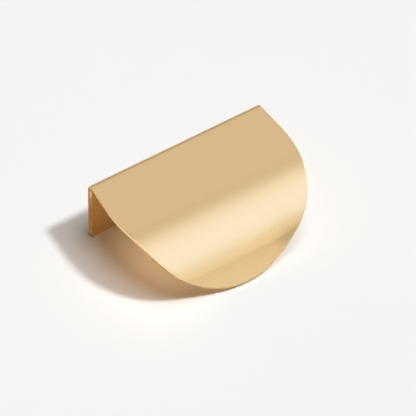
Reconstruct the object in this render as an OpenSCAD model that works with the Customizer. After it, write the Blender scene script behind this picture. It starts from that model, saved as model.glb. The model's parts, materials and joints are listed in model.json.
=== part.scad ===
// Half-moon edge pull, bent from one sheet of brass.
// X runs along the fold, the lip reaches towards -Y, and +Z is up.
// The origin is midway between the screw holes, on the face of the flange that lies on the back
// of the drawer front. The sheet is measured along its outer face from the end of the fold:
// lengths are positive towards the tip of the lip and negative towards the foot of the flange.

/* [Lip] */
// Width of the lip at its widest line
lip_w = 80; // [70:1:110]
// Distance along the sheet from the fold to the widest line
lip_widest = 16.1; // [14:0.1:22]
// Angle at which each side of the lip opens from the fold, in degrees
side_angle = 3.8; // [0:0.1:5]
// Length of the flat top, between the fold and the curve
top_flat = 23.5; // [18:0.5:30]
// Outer radius of the curve that turns the lip down
lip_r = 24.6; // [18:0.1:26]
// Angle through which the curve turns the lip down, in degrees
lip_turn = 76; // [66:1:82]
// Outer radius of the hollow curve that flares the tip outwards again
flare_r = 36; // [30:1:60]

/* [Flange] */
// Height from the foot of the flange to the top face, which is also the drop of the lip
flange_h = 30.1; // [24:0.1:38]
// Radius of the two corners at the foot of the flange
foot_r = 1.8; // [0.8:0.1:4]

/* [Sheet] */
// Thickness of the sheet
sheet_t = 2.5; // [1.5:0.1:3]
// Inner radius of the fold between the flange and the top
fold_r = 0.6; // [0.5:0.1:2]
// Width of the small bevel that eases every edge of the blank
edge_ease = 0.35; // [0.1:0.05:0.5]

/* [Screw holes] */
// Diameter of the two holes
hole_d = 4; // [3:0.1:5]
// Distance between the centres of the two holes
hole_spacing = 50; // [32:1:54]
// Height of the hole centres above the foot of the flange
hole_up = 14; // [10:0.5:16]
// Diameter of the countersink on the rear face
sink_d = 7.2; // [6:0.1:9]
// Full angle of the countersink, in degrees
sink_angle = 90; // [82:1:100]

/* [Hidden] */
$fn = 96;

// Heights and depths of the section
foot_z = -hole_up;
top_z = foot_z + flange_h;
fold_out = fold_r + sheet_t;
fold_z = top_z - fold_out;
curve_y = -fold_r - top_flat;
curve_z = top_z - lip_r;

// The flare starts where the lip is steepest, and goes on until the tip stands level with the
// foot, on the lower edge of the rim between the bevels
flare_y = curve_y - (lip_r + flare_r) * sin(lip_turn);
flare_z = curve_z + (lip_r + flare_r) * cos(lip_turn);
tip_turn = acos((flare_z - foot_z) / (flare_r + sheet_t - edge_ease));

// Lengths along the outer face
fold_len = fold_out * PI / 2;
foot_s = -fold_len - (fold_z - foot_z);
flare_s = top_flat + lip_r * lip_turn * PI / 180;
lip_len = flare_s + flare_r * (lip_turn - tip_turn) * PI / 180;

// The round end is an ellipse about the widest line, and the straight sides are tangent to it
half_w = lip_w / 2;
round_len = lip_len - lip_widest;
side_slope = tan(side_angle);
side_turn = -atan(side_slope * round_len / half_w);
side_end_s = lip_widest + round_len * sin(side_turn);
side_end_w = half_w * cos(side_turn);
flange_half_w = side_end_w - side_slope * side_end_s;

// How far a cutting shape stands clear of the faces that it must not touch
clear = 0.2;
// Steps along the round end, round the fold and round a foot corner
ROUND_STEPS = 64;
FOLD_STEPS = 10;
CORNER_STEPS = 6;

// Angle through which the sheet has turned down at the length s, in degrees
function turned(s) =
    s < -fold_len ? -90
    : s < 0 ? 90 * s / fold_len
    : s < top_flat ? 0
    : s < flare_s ? (s - top_flat) / lip_r * 180 / PI
    : lip_turn - (s - flare_s) / flare_r * 180 / PI;

// Direction square out of the outer face, as [y, z], at the length s
function outward(s) = [-sin(turned(s)), cos(turned(s))];

// Point of the section, as [y, z], at the length s and the depth d below the outer face
function section_point(s, d) =
    s < -fold_len ? [sheet_t - d, fold_z + s + fold_len]
    : s < 0 ? [-fold_r, fold_z] + (fold_out - d) * outward(s)
    : s < top_flat ? [-fold_r - s, top_z - d]
    : s < flare_s ? [curve_y, curve_z] + (lip_r - d) * outward(s)
    : [flare_y, flare_z] - (flare_r + d) * outward(s);

// Right half of the blank's outline from the tip to the foot, each point as
// [half width, length, and the outward normal in those two directions]
half_outline = concat(
    [for (i = [0:ROUND_STEPS])
        let (a = 90 + (side_turn - 90) * i / ROUND_STEPS,
             n = [cos(a) / half_w, sin(a) / round_len])
        [half_w * cos(a), lip_widest + round_len * sin(a), n[0] / norm(n), n[1] / norm(n)]],
    [for (i = [0:FOLD_STEPS])
        [flange_half_w, -fold_len * i / FOLD_STEPS, 1, i == 0 ? -tan(side_angle / 2) : 0]],
    [for (i = [0:CORNER_STEPS])
        let (a = -90 * i / CORNER_STEPS)
        [flange_half_w - foot_r + foot_r * cos(a), foot_s + foot_r + foot_r * sin(a), cos(a), sin(a)]]
);
last = len(half_outline) - 1;

// The whole outline from the left foot corner round the tip to the right one
outline = concat(
    [for (i = [last:-1:1]) let (p = half_outline[i]) [-p[0], p[1], -p[2], p[3]]],
    half_outline
);

// Rim of the sheet as rows of [depth, inset], so that both its edges are bevelled by edge_ease
rim_rows = [
    [-clear, edge_ease + clear],
    [edge_ease, 0],
    [sheet_t - edge_ease, 0],
    [sheet_t + clear, edge_ease + clear]
];

// Point of the rim for an outline point p and a row
function rim_point(p, row) =
    let (yz = section_point(p[1] - row[1] * p[3], row[0]))
    [p[0] - row[1] * p[2], yz[0], yz[1]];

// Band of the blank's outline, square to the sheet all the way round, that trims the section
module blank() {
    n = len(outline);
    rows = len(rim_rows);
    points = [for (row = rim_rows) for (p = outline) rim_point(p, row)];
    walls = [for (r = [0:rows - 2]) for (i = [0:n - 1])
        let (j = (i + 1) % n, a = r * n, b = a + n)
        each [[a + i, b + i, b + j], [a + i, b + j, a + j]]];
    outer = [for (i = [0:last - 1]) [i, i + 1, n - 2 - i, n - 1 - i]];
    inner = [for (q = outer) [for (k = [3:-1:0]) q[k] + (rows - 1) * n]];
    polyhedron(points, concat(walls, outer, inner), convexity = 6);
}

// Ring of the sheet's thickness about a bend's centre
module bend_ring(outer_r) {
    difference() {
        circle(outer_r);
        circle(outer_r - sheet_t);
    }
}

// Section of the bent sheet in the YZ plane: flange, fold, flat top, curve and flare
module section() {
    translate([0, foot_z - clear])
        square([sheet_t, fold_z - foot_z + clear]);
    translate([-fold_r, fold_z])
        intersection() {
            bend_ring(fold_out);
            square(fold_out + clear);
        }
    translate([curve_y, top_z - sheet_t])
        square([top_flat, sheet_t]);
    intersection() {
        translate([curve_y, curve_z])
            rotate(lip_turn) {
                intersection() {
                    bend_ring(lip_r);
                    translate([0, -lip_r - clear])
                        square(2 * (lip_r + clear));
                }
                translate([0, lip_r + flare_r])
                    intersection() {
                        bend_ring(flare_r + sheet_t);
                        translate([-2 * flare_r, -2 * flare_r])
                            square(2 * flare_r);
                    }
            }
        translate([curve_y - 2 * flange_h, top_z - 2 * flange_h])
            square([2 * flange_h, 3 * flange_h]);
    }
}

// One countersunk hole along Y, with its countersink on the rear face of the flange
module screw_hole() {
    sink_slope = tan(sink_angle / 2);
    translate([0, sheet_t + clear, 0])
        rotate([90, 0, 0]) {
            cylinder(h = sheet_t + 2 * clear, d = hole_d);
            cylinder(h = (sink_d - hole_d) / 2 / sink_slope + clear,
                     d1 = sink_d + 2 * clear * sink_slope, d2 = hole_d);
        }
}

// The pull: the bent section trimmed to the blank's outline and drilled
module half_moon_pull() {
    color("#d9b984")
        difference() {
            intersection() {
                rotate([90, 0, 90])
                    linear_extrude(height = lip_w + 2, center = true)
                        section();
                blank();
            }
            for (side = [-1, 1])
                translate([side * hole_spacing / 2, 0, 0])
                    screw_hole();
        }
}

half_moon_pull();
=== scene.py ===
"""A half-moon edge pull of satin brass, resting on its flange and the tip of its lip on a pale floor."""
import json
from math import acos, atan, cos, pi, radians, sin, tan

import bpy
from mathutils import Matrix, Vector


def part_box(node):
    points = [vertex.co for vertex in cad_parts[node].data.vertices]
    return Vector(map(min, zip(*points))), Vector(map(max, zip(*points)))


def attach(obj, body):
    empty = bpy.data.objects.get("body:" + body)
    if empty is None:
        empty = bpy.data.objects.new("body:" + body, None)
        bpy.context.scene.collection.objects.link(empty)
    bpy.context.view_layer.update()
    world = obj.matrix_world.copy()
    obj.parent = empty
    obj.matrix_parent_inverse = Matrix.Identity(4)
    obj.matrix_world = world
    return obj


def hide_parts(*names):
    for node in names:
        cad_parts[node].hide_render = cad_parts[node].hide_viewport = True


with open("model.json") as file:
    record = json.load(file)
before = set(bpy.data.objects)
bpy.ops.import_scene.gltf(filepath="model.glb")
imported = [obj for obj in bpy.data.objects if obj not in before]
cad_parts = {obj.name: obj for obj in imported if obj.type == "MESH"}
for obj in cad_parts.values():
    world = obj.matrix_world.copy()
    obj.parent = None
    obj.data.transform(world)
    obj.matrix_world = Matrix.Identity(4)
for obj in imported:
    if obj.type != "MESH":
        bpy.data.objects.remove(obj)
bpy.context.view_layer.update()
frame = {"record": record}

# The sheet, in metres. Its width, height and thickness come from the frame.
MM = 0.001
PULL = "half_moon_pull"
low_corner, high_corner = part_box(PULL)
HALF_W = high_corner.x
SHEET = high_corner.y
FOOT_Z = low_corner.z
TOP_Z = high_corner.z

FOLD_IN = 0.6 * MM
FLAT = 23.5 * MM
BEND_R = 24.6 * MM
BEND_TURN = radians(76)
FLARE_R = 36 * MM
WIDEST = 16.1 * MM
SIDE_ANGLE = radians(3.8)
FOOT_R = 1.8 * MM
EASE = 0.35 * MM
SINK_R = 3.6 * MM
SINK_ANGLE = radians(90)

screws = next(m for m in frame["record"]["mounts"] if m["name"] == "screw_holes")
HOLE_R = screws["dims"]["hole_r_mm"] * MM
HOLE_X = screws["dims"]["spacing_x_mm"] * MM / 2
HOLE_Z = screws["pos_m"][2]

# The bent section. s is the length along the outer face, from the end of the fold towards the tip.
FOLD_R = FOLD_IN + SHEET
FOLD_Z = TOP_Z - FOLD_R
FOLD_LEN = FOLD_R * pi / 2
FOOT_S = -FOLD_LEN - (FOLD_Z - FOOT_Z)
BEND_Y = -FOLD_IN - FLAT
BEND_Z = TOP_Z - BEND_R
# The flare bends the other way, from where the lip is steepest to where its tip meets the floor.
FLARE_S = FLAT + BEND_R * BEND_TURN
FLARE_Y = BEND_Y - (BEND_R + FLARE_R) * sin(BEND_TURN)
FLARE_Z = BEND_Z + (BEND_R + FLARE_R) * cos(BEND_TURN)
TIP_TURN = acos((FLARE_Z - FOOT_Z) / (FLARE_R + SHEET - EASE))
LIP_LEN = FLARE_S + FLARE_R * (BEND_TURN - TIP_TURN)
HOLE_S = -FOLD_LEN - (FOLD_Z - HOLE_Z)

# The blank's outline: straight sides that open a little, tangent to half an ellipse.
ROUND_LEN = LIP_LEN - WIDEST
SIDE_SLOPE = tan(SIDE_ANGLE)
SIDE_TURN = -atan(SIDE_SLOPE * ROUND_LEN / HALF_W)
SIDE_END_S = WIDEST + ROUND_LEN * sin(SIDE_TURN)
SIDE_END_W = HALF_W * cos(SIDE_TURN)
FLANGE_W = SIDE_END_W - SIDE_SLOPE * SIDE_END_S

# Every edge is rounded by the radius at which the tip's lower edge just meets the floor.
EDGE_R = EASE * cos(TIP_TURN) / (sin(TIP_TURN) + cos(TIP_TURN) - 1)

# The mesh: its cell, the steps round an edge, and a narrow strip that keeps the faces flat beside it.
CELL = 1.2 * MM
EDGE_STEPS = 5
STRIP = 0.15 * MM
# How far one step turns round a foot corner, round the fold and round the tip.
CORNER_TURN = radians(15)
FOLD_TURN = radians(4)
ROUND_TURN = radians(1)
# Faces that meet at more than this show a sharp edge.
SHARP_TURN = radians(35)
# Each screw hole is cut from a square patch of small cells.
PATCH = 5.2 * MM
PATCH_CELLS = 12
PATCH_CELL = 2 * PATCH / PATCH_CELLS


def bent(x, s, depth):
    """The point at x and s on the blank, depth below its outer face, once the sheet is bent."""
    if s < -FOLD_LEN:
        return Vector((x, SHEET - depth, FOLD_Z + s + FOLD_LEN))
    if s < 0:
        turn = s / FOLD_R
        return Vector((x, -FOLD_IN - (FOLD_R - depth) * sin(turn), FOLD_Z + (FOLD_R - depth) * cos(turn)))
    if s < FLAT:
        return Vector((x, -FOLD_IN - s, TOP_Z - depth))
    if s < FLARE_S:
        turn = (s - FLAT) / BEND_R
        return Vector((x, BEND_Y - (BEND_R - depth) * sin(turn), BEND_Z + (BEND_R - depth) * cos(turn)))
    turn = BEND_TURN - (s - FLARE_S) / FLARE_R
    return Vector((x, FLARE_Y + (FLARE_R + depth) * sin(turn), FLARE_Z - (FLARE_R + depth) * cos(turn)))


def spread(start, end, step):
    """Even places from start to end, about step apart, without the last."""
    count = max(1, round(abs(end - start) / step))
    return [start + (end - start) * i / count for i in range(count)]


def right_edge():
    """The blank's right edge from the foot to the tip, each point as x, s and its outward direction."""
    corner_x = FLANGE_W - FOOT_R
    corner_s = FOOT_S + FOOT_R
    points = []
    for turn in spread(-pi / 2, 0, CORNER_TURN):
        points.append((corner_x + FOOT_R * cos(turn), corner_s + FOOT_R * sin(turn), cos(turn), sin(turn)))
    stops = [corner_s, HOLE_S - PATCH, HOLE_S + PATCH, -FOLD_LEN - STRIP, -FOLD_LEN, 0]
    steps = [CELL, PATCH_CELL, CELL, STRIP, FOLD_R * FOLD_TURN]
    for start, end, step in zip(stops, stops[1:], steps):
        points += [(FLANGE_W, s, 1, 0) for s in spread(start, end, step)]
    points.append((FLANGE_W, 0, cos(SIDE_ANGLE / 2), -sin(SIDE_ANGLE / 2)))
    for s in spread(STRIP, SIDE_END_S, CELL):
        points.append((FLANGE_W + SIDE_SLOPE * s, s, cos(SIDE_ANGLE), -sin(SIDE_ANGLE)))
    for turn in spread(SIDE_TURN, pi / 2, ROUND_TURN):
        out = Vector((ROUND_LEN * cos(turn), HALF_W * sin(turn))).normalized()
        points.append((HALF_W * cos(turn), WIDEST + ROUND_LEN * sin(turn), out.x, out.y))
    return points + [(0, LIP_LEN, 0, 1)]


def columns(half):
    """Columns of cells across the flange, half wide each way, as shares of that half."""
    right = spread(0, HOLE_X - PATCH, CELL)
    right += spread(HOLE_X - PATCH, HOLE_X + PATCH, PATCH_CELL)
    right += spread(HOLE_X + PATCH, half, CELL) + [half]
    return [-x / half for x in reversed(right[1:])] + [x / half for x in right]


class Shell:
    """Points and faces of one piece, gathered before its mesh is made."""

    def __init__(self):
        self.points = []
        self.faces = []

    def add(self, places):
        first = len(self.points)
        self.points += places
        return list(range(first, first + len(places)))

    def band(self, shallow, deep):
        """Quads between two closed rings of as many points."""
        for i in range(len(shallow)):
            j = (i + 1) % len(shallow)
            self.faces.append((shallow[i], shallow[j], deep[j], deep[i]))


def face_rows(shell, edge, shares, inset, depth):
    """Rows of points over one face of the sheet, each from left to right, from the foot up to the tip."""
    rows = []
    for x, s, out_x, out_s in edge[:-1]:
        half = x - inset * out_x
        rows.append(shell.add([bent(half * share, s - inset * out_s, depth) for share in shares]))
    tip = shell.add([bent(0, LIP_LEN - inset, depth)])[0]
    return rows, tip


def fill_face(shell, rows, tip, corners, is_outer):
    """Faces between the rows, with a patch left open at each of the corners, and a fan to the tip."""
    faces = []
    for j in range(len(rows) - 1):
        for i in range(len(rows[0]) - 1):
            if any(0 <= j - r < PATCH_CELLS and 0 <= i - c < PATCH_CELLS for r, c in corners):
                continue
            faces.append((rows[j][i], rows[j + 1][i], rows[j + 1][i + 1], rows[j][i + 1]))
    for i in range(len(rows[0]) - 1):
        faces.append((rows[-1][i], tip, rows[-1][i + 1]))
    shell.faces += faces if is_outer else [face[::-1] for face in faces]


def rim_of(rows, tip):
    """The face's outermost points: up the right side, over the tip, down the left and along the foot."""
    right = [row[-1] for row in rows]
    left = [row[0] for row in reversed(rows)]
    return right + [tip] + left + rows[0][1:-1]


def rim_ring(edge, shares, inset, depth):
    """Places round the blank in the order of rim_of, inset from its edge."""
    right = [(x - inset * out_x, s - inset * out_s) for x, s, out_x, out_s in edge[:-1]]
    left = [(-x, s) for x, s in reversed(right)]
    foot = [(right[0][0] * share, right[0][1]) for share in shares[1:-1]]
    return [bent(x, s, depth) for x, s in right + [(0, LIP_LEN - inset)] + left + foot]


def square_of(rows, row, column):
    """The points round an open patch, from its low left corner along the foot side first."""
    n = PATCH_CELLS
    foot_side = [rows[row][column + i] for i in range(n)]
    right_side = [rows[row + i][column + n] for i in range(n)]
    tip_side = [rows[row + n][column + n - i] for i in range(n)]
    left_side = [rows[row + n - i][column] for i in range(n)]
    return foot_side + right_side + tip_side + left_side


def hole_ring(x, radius, depth):
    """Places round a screw hole, one for each point of its patch's square."""
    count = 4 * PATCH_CELLS
    turns = [-3 * pi / 4 + 2 * pi * i / count for i in range(count)]
    return [bent(x + radius * cos(a), HOLE_S + radius * sin(a), depth) for a in turns]


def edge_profile():
    """Depth and inset from the outer face round the square-cut edge to the inner face."""
    turns = [pi / 2 * i / EDGE_STEPS for i in range(EDGE_STEPS + 1)]
    upper = [(EDGE_R * (1 - cos(a)), EDGE_R * (1 - sin(a))) for a in turns]
    lower = [(SHEET - depth, inset) for depth, inset in reversed(upper)]
    return upper + lower


def bend_pull():
    """The whole pull as one closed mesh: two faces, the rounded edge and two countersunk holes."""
    shell = Shell()
    edge = right_edge()
    inset = EDGE_R + STRIP
    half = FLANGE_W - inset
    shares = columns(half)
    first_row = min(range(len(edge)), key=lambda j: abs(edge[j][1] - (HOLE_S - PATCH)))
    corners = []
    for hole_x in (-HOLE_X, HOLE_X):
        column = min(range(len(shares)), key=lambda i: abs(shares[i] * half - (hole_x - PATCH)))
        corners.append((first_row, column))

    outer_rows, outer_tip = face_rows(shell, edge, shares, inset, 0)
    inner_rows, inner_tip = face_rows(shell, edge, shares, inset, SHEET)
    fill_face(shell, outer_rows, outer_tip, corners, True)
    fill_face(shell, inner_rows, inner_tip, corners, False)
    face_count = len(shell.faces)

    rings = [rim_of(outer_rows, outer_tip)]
    rings += [shell.add(rim_ring(edge, shares, i, d)) for d, i in edge_profile()]
    rings.append(rim_of(inner_rows, inner_tip))
    for shallow, deep in zip(rings, rings[1:]):
        shell.band(shallow, deep)
    # The first and last bands are narrow strips of the two faces. The rest are the cut edge.
    cut_faces = set(range(face_count + len(rings[0]), len(shell.faces) - len(rings[0])))

    sink_depth = (SINK_R - HOLE_R) / tan(SINK_ANGLE / 2)
    profile = [
        (0, SINK_R + STRIP),
        (0, SINK_R),
        (sink_depth, HOLE_R),
        (SHEET, HOLE_R),
        (SHEET, HOLE_R + STRIP),
    ]
    for hole_x, (row, column) in zip((-HOLE_X, HOLE_X), corners):
        rings = [square_of(outer_rows, row, column)]
        rings += [shell.add(hole_ring(hole_x, radius, depth)) for depth, radius in profile]
        rings.append(square_of(inner_rows, row, column))
        first_face = len(shell.faces)
        for shallow, deep in zip(rings, rings[1:]):
            shell.band(deep, shallow)
        # The third and fourth bands are the countersink and the bore.
        count = len(rings[0])
        cut_faces |= set(range(first_face + 2 * count, first_face + 4 * count))

    mesh = bpy.data.meshes.new("bent_pull")
    mesh.from_pydata([tuple(p) for p in shell.points], [], shell.faces)
    for polygon in mesh.polygons:
        polygon.use_smooth = True
        polygon.material_index = 1 if polygon.index in cut_faces else 0
    mesh.set_sharp_from_angle(angle=SHARP_TURN)
    mesh.validate()
    piece = bpy.data.objects.new("bent_pull", mesh)
    bpy.context.scene.collection.objects.link(piece)
    return piece


def linear(hex_colour):
    """An sRGB colour such as #C8A060 as linear red, green, blue and alpha."""
    channels = [int(hex_colour[i:i + 2], 16) / 255 for i in (1, 3, 5)]
    return tuple(c / 12.92 if c <= 0.04045 else ((c + 0.055) / 1.055) ** 2.4 for c in channels) + (1.0,)


def add_node(tree, kind, settings=None, links=None):
    """Adds a node, with attributes and input values by name, and links from other nodes' outputs."""
    node = tree.nodes.new(kind)
    for name, value in (settings or {}).items():
        if name in node.inputs:
            node.inputs[name].default_value = value
        else:
            setattr(node, name, value)
    for name, source in (links or {}).items():
        tree.links.new(source, node.inputs[name])
    return node


def new_material(name):
    """An empty material and its node tree."""
    material = bpy.data.materials.new(name)
    material.use_nodes = True
    material.node_tree.nodes.clear()
    return material, material.node_tree


# A fine belt leaves brush lines about 0.1 mm apart. They are drawn 0.5 mm apart, so that they show.
BRUSH_SPACING = 0.5 * MM
# A brush line runs some 150 mm before it fades.
BRUSH_LENGTH = 150 * MM
# The belt's marks on the cut edge are as fine as that, and are drawn as coarse.
GRIT = 0.5 * MM


def satin_brass():
    """Brass sheet, brushed along the fold with a fine belt and lacquered.

    The fine lines all run one way, so reflections stay crisp along them and smear across them: the
    curve carries one wide soft band of light, and the flat looks even. The lacquer adds a faint gloss.
    """
    material, tree = new_material("satin_brass")
    place = add_node(tree, "ShaderNodeTexCoord").outputs["Object"]
    stretched = add_node(tree, "ShaderNodeMapping",
                         {"Scale": (1 / BRUSH_LENGTH, 1 / BRUSH_SPACING, 1 / BRUSH_SPACING)},
                         {"Vector": place}).outputs["Vector"]
    lines = add_node(tree, "ShaderNodeTexNoise", {"Scale": 1.0, "Detail": 1.0, "Roughness": 0.5},
                     {"Vector": stretched}).outputs["Fac"]
    colour = add_node(tree, "ShaderNodeMix", {"data_type": "RGBA"}, {"Factor": lines})
    colour.inputs["A"].default_value = linear("#EFCC96")
    colour.inputs["B"].default_value = linear("#F3D29E")
    roughness = add_node(tree, "ShaderNodeMapRange",
                         {"To Min": 0.265, "To Max": 0.295}, {"Value": lines}).outputs["Result"]
    across = add_node(tree, "ShaderNodeTangent",
                      {"direction_type": "RADIAL", "axis": "X"}).outputs["Tangent"]
    shader = add_node(tree, "ShaderNodeBsdfPrincipled",
                      {"Metallic": 1.0, "Anisotropic": 0.8, "Coat Weight": 0.15, "Coat Roughness": 0.2},
                      {"Base Color": colour.outputs["Result"], "Roughness": roughness, "Tangent": across})
    add_node(tree, "ShaderNodeOutputMaterial", links={"Surface": shader.outputs["BSDF"]})
    return material


def cut_brass():
    """The sheet's cut edge and the holes: brass rounded over on a fine belt and lacquered with the faces.

    It has no brush lines of its own that the eye could follow, so it is a plain soft sheen.
    """
    material, tree = new_material("cut_brass")
    place = add_node(tree, "ShaderNodeTexCoord").outputs["Object"]
    grit = add_node(tree, "ShaderNodeTexNoise", {"Scale": 1 / GRIT, "Detail": 2.0},
                    {"Vector": place}).outputs["Fac"]
    roughness = add_node(tree, "ShaderNodeMapRange",
                         {"To Min": 0.14, "To Max": 0.2}, {"Value": grit}).outputs["Result"]
    shader = add_node(tree, "ShaderNodeBsdfPrincipled",
                      {"Base Color": linear("#F1CE97"), "Metallic": 1.0}, {"Roughness": roughness})
    add_node(tree, "ShaderNodeOutputMaterial", links={"Surface": shader.outputs["BSDF"]})
    return material


pull = bend_pull()
pull.data.materials.append(satin_brass())
pull.data.materials.append(cut_brass())
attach(pull, "root")
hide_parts(PULL)


# The studio.
# Two lamps, each by where it stands seen from the pull, how wide it looks, its power and its colour:
# the main one high in front on the right, and a wide one overhead that fills the shadow.
KEY_LAMP = (Vector((0.44, -0.385, 1.0)), radians(7), 2.00, "#F0F9FF")
OVERHEAD_LAMP = (Vector((0.12, -0.14, 1.0)), radians(32), 1.46, "#FFFAF5")
# The little light from all round, as red, green and blue, where 1 is white.
AMBIENT = (0.03, 0.02, 0.015)
# The colour that the camera sees past the floor.
BACKDROP = "#F9F8F6"
# The floor reaches this far each way, well past the picture.
FLOOR_HALF = 3.0


def paper():
    """Smooth matt paper on the table: no gloss, so it shows as a plain pale ground with soft shadows."""
    material, tree = new_material("white_paper")
    shader = add_node(tree, "ShaderNodeBsdfDiffuse", {"Color": linear("#F8F7F5")})
    add_node(tree, "ShaderNodeOutputMaterial", links={"Surface": shader.outputs["BSDF"]})
    return material


def lay_floor():
    """A wide floor, level with the foot of the flange."""
    around = [(-1, -1), (1, -1), (1, 1), (-1, 1)]
    corners = [(x * FLOOR_HALF, y * FLOOR_HALF, FOOT_Z) for x, y in around]
    mesh = bpy.data.meshes.new("studio_floor")
    mesh.from_pydata(corners, [], [(0, 1, 2, 3)])
    mesh.materials.append(paper())
    floor = bpy.data.objects.new("studio_floor", mesh)
    bpy.context.scene.collection.objects.link(floor)


def hang_lamp(name, lamp):
    """A far lamp. Its own reflection is kept off the metal, which mirrors the room instead."""
    toward, width, power, colour = lamp
    light = bpy.data.lights.new(name, "SUN")
    light.energy = power
    light.angle = width
    light.color = linear(colour)[:3]
    holder = bpy.data.objects.new(name, light)
    holder.rotation_euler = toward.to_track_quat("Z", "Y").to_euler()
    holder.visible_camera = False
    holder.visible_glossy = False
    bpy.context.scene.collection.objects.link(holder)


# A small warm lamp under the lip stands for the light that the polished underside throws about there.
BOUNCE_PLACE = (-11 * MM, -28 * MM, 4 * MM)
BOUNCE_SIZE = (54 * MM, 34 * MM)
BOUNCE_TILT = radians(-8)
BOUNCE_POWER = 0.0043
BOUNCE_COLOUR = "#FFD5A8"


def light_underside():
    """The warm lamp under the lip. It lights the floor only, and the metal does not mirror it."""
    lamp = bpy.data.lights.new("bounce_lamp", "AREA")
    lamp.shape = "RECTANGLE"
    lamp.size, lamp.size_y = BOUNCE_SIZE
    lamp.energy = BOUNCE_POWER
    lamp.color = linear(BOUNCE_COLOUR)[:3]
    holder = bpy.data.objects.new("bounce_lamp", lamp)
    holder.location = BOUNCE_PLACE
    holder.rotation_euler = (BOUNCE_TILT, 0, 0)
    holder.visible_camera = False
    holder.visible_glossy = False
    bpy.context.scene.collection.objects.link(holder)


# Cards that only the metal sees, in millimetres: glowing cards, no lamps, that paint reflections of light
# and shade into the metal. Their colours are brightness in red, green and blue, where 1 is white. A card
# that lies down does so just over the floor.
LIFT = 0.3
# In front of the tip lie a dull strip and a pale one, which paint a dark band and then a pale band of
# reflection on the lip near its tip. Behind them a low glowing card hides the bank of light from the tip
# and paints a reflection of its own there. They share these places along x. First come their edges from
# the tip outwards, each by its y there, and then the height of the low card's head.
FRONT_X = [-60, 10, 24, 38, 60]
DULL_NEAR = [-50, -57, -61, -70, -84]
DULL_FAR = [-63, -66, -69, -88, -115]
CARD_FOOT = [-78, -84, -90, -104, -130]
CARD_HEAD = [12, 12, 18, 26, 36]
# The glow of the dull strip, the pale strip and the low card: painted reflections in the lip near its tip.
PAINTED_DARK_REFLECTION = (0.24, 0.18, 0.11)
PAINTED_PALE_REFLECTION = (1.12, 1.09, 1.02)
PAINTED_FRONT_REFLECTION = (0.96, 0.92, 0.83)
# A brown card beside the flange paints a reflection of brown shade into the flange's end, and a narrow
# upright one close to that end does the same for its rounded edge.
SIDE_NEAR = [(-48, -12, LIFT), (-48, 8, LIFT), (-57, 27, LIFT)]
SIDE_FAR = [(-40, -12, LIFT), (-40, 16, LIFT), (-46, 44, LIFT)]
RIM_FOOT = [(-42, 3, LIFT), (-42, -4, LIFT)]
RIM_HEAD = [(-42, 3, 20), (-42, -4, 20)]
# The glow of both brown cards: a painted reflection of shade in the flange's end.
PAINTED_SHADE_REFLECTION = (0.38, 0.21, 0.09)
# Under the lip, brown strips stand for the deep shadow that the flange's inner face mirrors: how far
# they reach each way along x, then the y of their edges and their colours, from the flange outwards.
SHADE_HALF = 38
SHADE_EDGES = [-0.3, -4, -8, -12, -24]
SHADES = [(0.24, 0.125, 0.050), (0.285, 0.155, 0.065), (0.33, 0.185, 0.081), (0.37, 0.220, 0.098)]


def stand_card(name, near, far, colour):
    """A glowing card between two edges, each given as points of x, y and height over the floor. Only the
    metal sees it, as a painted reflection of light or shade.
    """
    count = len(near)
    corners = [(x * MM, y * MM, FOOT_Z + up * MM) for x, y, up in near + far]
    material, tree = new_material(name)
    glow = add_node(tree, "ShaderNodeEmission", {"Color": (*colour, 1.0), "Strength": 1.0})
    add_node(tree, "ShaderNodeOutputMaterial", links={"Surface": glow.outputs["Emission"]})
    mesh = bpy.data.meshes.new(name)
    mesh.from_pydata(corners, [], [(i, i + 1, count + i + 1, count + i) for i in range(count - 1)])
    mesh.materials.append(material)
    card = bpy.data.objects.new(name, mesh)
    bpy.context.scene.collection.objects.link(card)
    card.visible_camera = False
    card.visible_diffuse = False
    card.visible_shadow = False
    card.visible_transmission = False


def front_edge(places, heights=None):
    """An edge of a card in front of the tip, lying down or at the heights given."""
    return list(zip(FRONT_X, places, heights or [LIFT] * len(FRONT_X)))


def stand_cards():
    """All the cards that paint reflections of light and shade into the metal."""
    # Painted reflections of a dark band and a pale band in the lip near its tip.
    stand_card("dull_strip", front_edge(DULL_NEAR), front_edge(DULL_FAR), PAINTED_DARK_REFLECTION)
    stand_card("pale_strip", front_edge(DULL_FAR), front_edge(CARD_FOOT), PAINTED_PALE_REFLECTION)
    stand_card("front_card", front_edge(CARD_FOOT), front_edge(CARD_FOOT, CARD_HEAD), PAINTED_FRONT_REFLECTION)
    # Painted reflections of brown shade in the flange's end and its rounded edge.
    stand_card("side_card", SIDE_NEAR, SIDE_FAR, PAINTED_SHADE_REFLECTION)
    stand_card("rim_card", RIM_FOOT, RIM_HEAD, PAINTED_SHADE_REFLECTION)
    for i, shade in enumerate(SHADES):
        near, far = [[(-SHADE_HALF, y, LIFT), (SHADE_HALF, y, LIFT)] for y in SHADE_EDGES[i:i + 2]]
        stand_card(f"shade_{i + 1}", near, far, shade)


# The room as the metal sees it, by the angle from straight behind the pull, over it, to straight in
# front: degrees, then brightness in red, green and blue. It is dim and warm behind, plain overhead,
# and a wide, cool, soft bank of light fills the front.
ROOM = [
    (0, 0.32, 0.26, 0.18),
    (28, 0.50, 0.44, 0.36),
    (46, 0.845, 0.845, 0.885),
    (62, 0.845, 0.845, 0.885),
    (74, 0.72, 0.70, 0.69),
    (86, 0.63, 0.59, 0.56),
    (95, 0.82, 0.84, 0.85),
    (108, 1.13, 1.23, 1.40),
    (120, 1.13, 1.30, 1.68),
    (140, 1.13, 1.33, 1.75),
    (160, 1.13, 1.33, 1.73),
    (180, 1.10, 1.26, 1.60),
]
# A colour ramp holds levels up to 1, so the room's are stored as shares of this one.
ROOM_TOP = 1.8


def set_stops(ramp, stops, top):
    """Fills a colour ramp with stops of place, red, green and blue, as shares of the top level."""
    elements = ramp.color_ramp.elements
    last = len(stops) - 1
    for i, (place, *levels) in enumerate(stops):
        if i == 0:
            element = elements[0]
        elif i == last:
            element = elements[-1]
        else:
            element = elements.new(place)
        element.position = place
        element.color = [level / top for level in levels] + [1]


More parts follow.
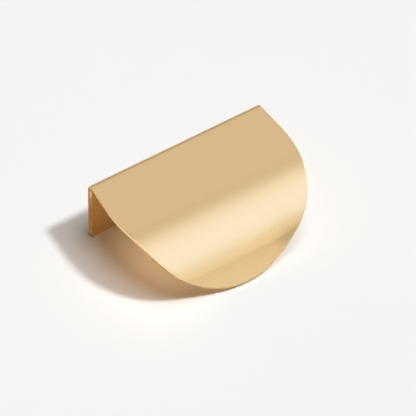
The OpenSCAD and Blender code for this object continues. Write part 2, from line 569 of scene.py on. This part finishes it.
def light_room():
    """The world: the room for the metal, the backdrop for the camera and a little light for the rest."""
    world = bpy.data.worlds.new("studio")
    bpy.context.scene.world = world
    world.use_nodes = True
    tree = world.node_tree
    tree.nodes.clear()
    rays = add_node(tree, "ShaderNodeLightPath").outputs
    direction = add_node(tree, "ShaderNodeTexCoord").outputs["Generated"]
    parts = add_node(tree, "ShaderNodeSeparateXYZ", links={"Vector": direction}).outputs
    angle = add_node(tree, "ShaderNodeMath", {"operation": "ARCTAN2"})
    tree.links.new(parts["Z"], angle.inputs[0])
    tree.links.new(parts["Y"], angle.inputs[1])
    forward = add_node(tree, "ShaderNodeMath", {"operation": "MULTIPLY"})
    tree.links.new(angle.outputs[0], forward.inputs[0])
    forward.inputs[1].default_value = 1 / pi
    ramp = add_node(tree, "ShaderNodeValToRGB", links={"Fac": forward.outputs[0]})
    set_stops(ramp, [(degree / 180, *levels) for degree, *levels in ROOM], ROOM_TOP)

    room = add_node(tree, "ShaderNodeBackground", {"Strength": ROOM_TOP}, {"Color": ramp.outputs["Color"]})
    ambient = add_node(tree, "ShaderNodeBackground", {"Color": (*AMBIENT, 1.0), "Strength": 1.0})
    behind = add_node(tree, "ShaderNodeBackground", {"Color": linear(BACKDROP), "Strength": 1.0})

    # The metal mirrors the room for the camera, but throws none of it on to the floor.
    before_floor = add_node(tree, "ShaderNodeMath", {"operation": "LESS_THAN"})
    tree.links.new(rays["Diffuse Depth"], before_floor.inputs[0])
    before_floor.inputs[1].default_value = 1
    mirrored = add_node(tree, "ShaderNodeMath", {"operation": "MULTIPLY"})
    tree.links.new(rays["Is Glossy Ray"], mirrored.inputs[0])
    tree.links.new(before_floor.outputs[0], mirrored.inputs[1])
    glossy = add_node(tree, "ShaderNodeMixShader")
    tree.links.new(mirrored.outputs[0], glossy.inputs[0])
    tree.links.new(ambient.outputs[0], glossy.inputs[1])
    tree.links.new(room.outputs[0], glossy.inputs[2])
    seen = add_node(tree, "ShaderNodeMixShader")
    tree.links.new(rays["Is Camera Ray"], seen.inputs[0])
    tree.links.new(glossy.outputs[0], seen.inputs[1])
    tree.links.new(behind.outputs[0], seen.inputs[2])
    add_node(tree, "ShaderNodeOutputWorld", links={"Surface": seen.outputs[0]})


# The camera, from the photograph: its azimuth and elevation, its focal length and the size of the image.
AZIMUTH = radians(-32.35)
ELEVATION = radians(49.83)
FOCAL_PX = 15367
SCALE_PX = 2.565 / MM
IMAGE_PX = 416
# Where the middle of the rear edge of the flange's foot lies in the image.
FOOT_PIXEL = (172.38, 191.94)
SENSOR = 36.0
FAR_CLIP = 100.0


def place_camera():
    """A very long lens, far off, that puts the foot of the flange at its pixel."""
    back = Vector((sin(AZIMUTH) * cos(ELEVATION), -cos(AZIMUTH) * cos(ELEVATION), sin(ELEVATION)))
    right = Vector((cos(AZIMUTH), sin(AZIMUTH), 0))
    up = back.cross(right)
    middle = (IMAGE_PX - 1) / 2
    aim = Vector((0, SHEET, FOOT_Z))
    aim += right * (middle - FOOT_PIXEL[0]) / SCALE_PX
    aim -= up * (middle - FOOT_PIXEL[1]) / SCALE_PX
    camera = bpy.data.cameras.new("camera")
    camera.sensor_width = SENSOR
    camera.lens = FOCAL_PX * SENSOR / IMAGE_PX
    camera.clip_end = FAR_CLIP
    holder = bpy.data.objects.new("camera", camera)
    holder.location = aim + back * FOCAL_PX / SCALE_PX
    holder.rotation_euler = back.to_track_quat("Z", "Y").to_euler()
    bpy.context.scene.collection.objects.link(holder)
    bpy.context.scene.camera = holder


lay_floor()
hang_lamp("key_lamp", KEY_LAMP)
hang_lamp("overhead_lamp", OVERHEAD_LAMP)
light_underside()
stand_cards()
light_room()
place_camera()
bpy.context.scene.view_settings.view_transform = "Standard"
